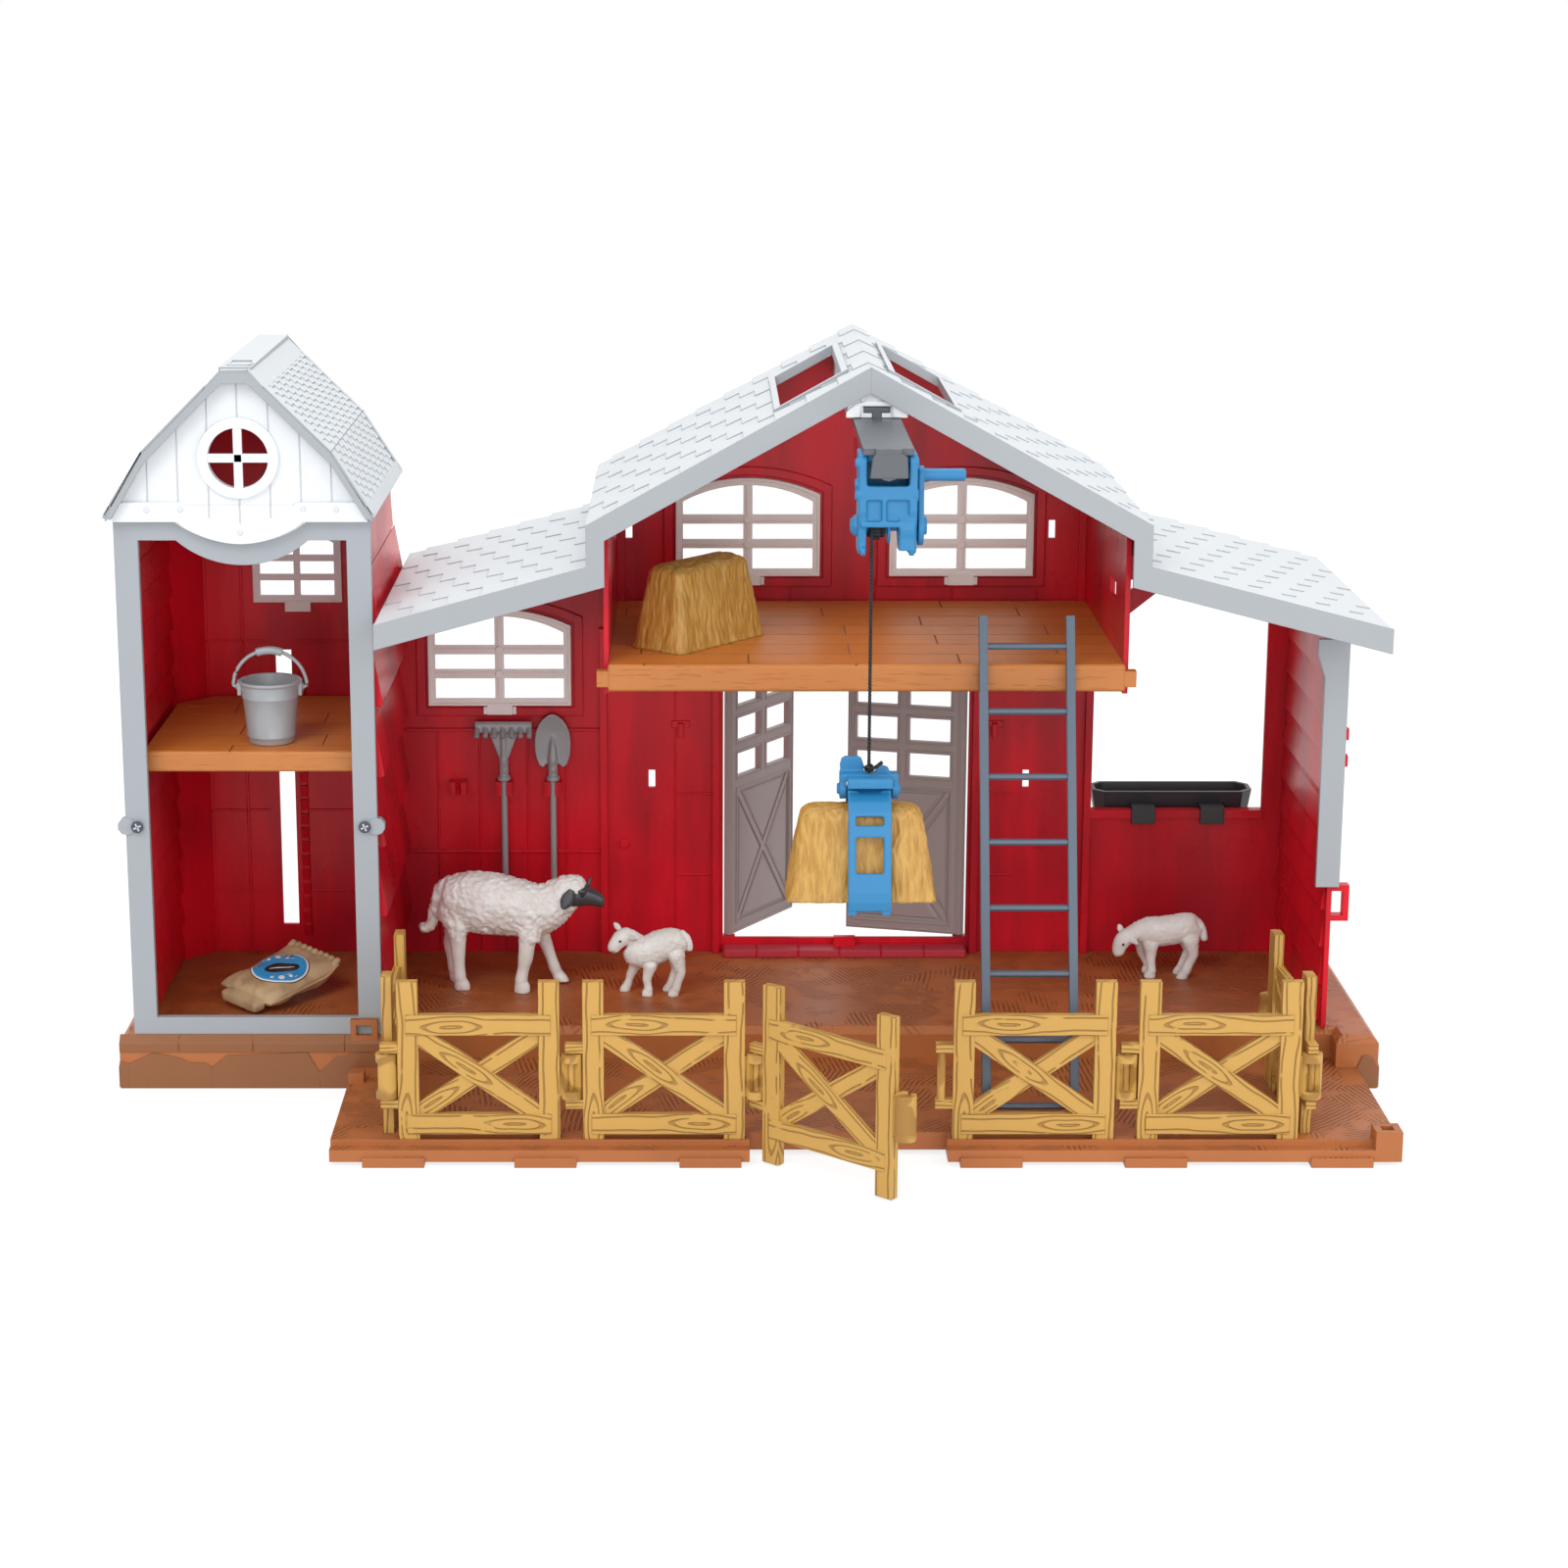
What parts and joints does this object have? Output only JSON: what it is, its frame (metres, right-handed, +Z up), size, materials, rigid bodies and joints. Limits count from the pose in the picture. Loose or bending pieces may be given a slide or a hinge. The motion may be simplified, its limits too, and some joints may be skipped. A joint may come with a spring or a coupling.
{
  "type": "toy barn with opening doors",
  "caption": "Toy barn with a silo lift, double back doors, a fenced yard with a swinging gate, a loft and a winch that lowers a hay bale grab.",
  "frame": {"origin": "on the surface that the toy stands on, under the middle of its length, on the foot of the middle rib of the ground tray, 14 mm behind the tray's front edge", "axes": "+X towards the right end as seen from the open front, +Y towards the back wall with the double doors, +Z up"},
  "size_m": [0.65, 0.3667, 0.378],
  "materials": {
    "red_plastic": "satin translucent red moulding",
    "roof_white": "matte pale grey moulding",
    "silo_grey": "matte grey moulding",
    "gable_white": "matte white moulding",
    "base_brown": "matte brown moulding",
    "loft_orange": "matte orange brown moulding",
    "fence_tan": "matte tan moulding",
    "taupe": "matte taupe moulding",
    "window_pale": "matte pale taupe moulding",
    "ladder_slate": "matte slate moulding",
    "beam_grey": "matte dark grey moulding",
    "winch_blue": "satin blue moulding",
    "cord_black": "twisted black cord",
    "bale_gold": "matte golden moulding",
    "trough_black": "matte black moulding",
    "tool_grey": "satin grey moulding",
    "sack_tan": "matte tan moulding",
    "sheep_white": "matte white figure",
    "screw_steel": "zinc plated"
  },
  "bodies": {
    "barn": {"back_wall": "red_plastic", "bale_on_loft": "bale_gold", "base_tray": "base_brown", "ewe": "sheep_white", "feed_sack": "sack_tan", "fence_panel_1": "fence_tan", "fence_panel_2": "fence_tan", "fence_panel_3": "fence_tan", "fence_panel_4": "fence_tan", "fence_side_left": "fence_tan", "fence_side_right": "fence_tan", "ladder": "ladder_slate", "lamb_grazing": "sheep_white", "lamb_standing": "sheep_white", "loft_cheek_left": "red_plastic", "loft_cheek_right": "red_plastic", "loft_deck": "loft_orange", "rake": "tool_grey", "ridge_channel": "gable_white", "right_post": "silo_grey", "right_wall": "red_plastic", "roof_left": "roof_white", "roof_right": "roof_white", "shovel": "tool_grey", "silo_frame": "silo_grey", "silo_frame_screws": "screw_steel", "silo_gable": "gable_white", "silo_plinth": "base_brown", "silo_roof": "roof_white", "silo_shell": "red_plastic", "silo_window": "window_pale", "trough": "trough_black", "window_lower_left": "window_pale", "window_upper_left": "window_pale", "window_upper_right": "window_pale", "yard_deck": "base_brown"},
    "lift": {"lift_platform": "loft_orange", "lift_knob": "loft_orange", "bucket": "tool_grey"},
    "bail": {"bucket_bail": "tool_grey"},
    "door_left": {"door_left": "taupe"},
    "door_right": {"door_right": "taupe"},
    "gate": {"gate": "fence_tan"},
    "hoist": {"hoist_beam": "beam_grey", "winch_frame": "winch_blue"},
    "crank": {"winch_crank": "winch_blue", "wound_cord": "cord_black"},
    "grab": {"grab_yoke": "winch_blue", "grab_pin": "screw_steel", "bale_lifted": "bale_gold", "hoist_cord": "cord_black"},
    "jaw_front": {"grab_jaw_front": "winch_blue"},
    "jaw_rear": {"grab_jaw_rear": "winch_blue"}
  },
  "joints": [
    {"name": "door_left_hinge", "type": "hinge", "parent": "barn", "child": "door_left", "pos_m": [-0.0094, 0.1215, 0.036], "axis": [0, 0, 1], "range_deg": [-56, 50]},
    {"name": "door_right_hinge", "type": "hinge", "parent": "barn", "child": "door_right", "pos_m": [0.1198, 0.1215, 0.036], "axis": [0, 0, 1], "range_deg": [-92, 14]},
    {"name": "gate_hinge", "type": "hinge", "parent": "barn", "child": "gate", "pos_m": [0.0019, -0.1285, 0.03], "axis": [0, 0, 1], "range_deg": [-48, 40]},
    {"name": "lift_slide", "type": "slide", "parent": "barn", "child": "lift", "axis": [0, 0, 1], "range_m": [-0.104, 0.02]},
    {"name": "bucket_bail_hinge", "type": "hinge", "parent": "lift", "child": "bail", "pos_m": [-0.2464, 0.0083, 0.205], "axis": [1, 0, 0], "range_deg": [-78, 78]},
    {"name": "hoist_beam_slide", "type": "slide", "parent": "barn", "child": "hoist", "axis": [0, 1, 0], "range_m": [-0.012, 0.078]},
    {"name": "winch_crank_turn", "type": "hinge", "parent": "hoist", "child": "crank", "pos_m": [0.06, -0.14855, 0.316], "axis": [1, 0, 0], "range_deg": [-795, 417]},
    {"name": "grab_lift", "type": "slide", "parent": "hoist", "child": "grab", "axis": [0, 0, 1], "range_m": [-0.0462, 0.088], "deforming": ["hoist_cord"]},
    {"name": "jaw_front_hinge", "type": "hinge", "parent": "grab", "child": "jaw_front", "pos_m": [0.053, -0.155, 0.193], "axis": [1, 0, 0], "range_deg": [-22, 0]},
    {"name": "jaw_rear_hinge", "type": "hinge", "parent": "grab", "child": "jaw_rear", "pos_m": [0.053, -0.155, 0.193], "axis": [1, 0, 0], "range_deg": [0, 22]}
  ],
  "couplings": [
    {"joint": "winch_crank_turn", "follows": "grab_lift", "rad_per_m": -157.48},
    {"joint": "jaw_rear_hinge", "follows": "jaw_front_hinge", "ratio": -1}
  ]
}
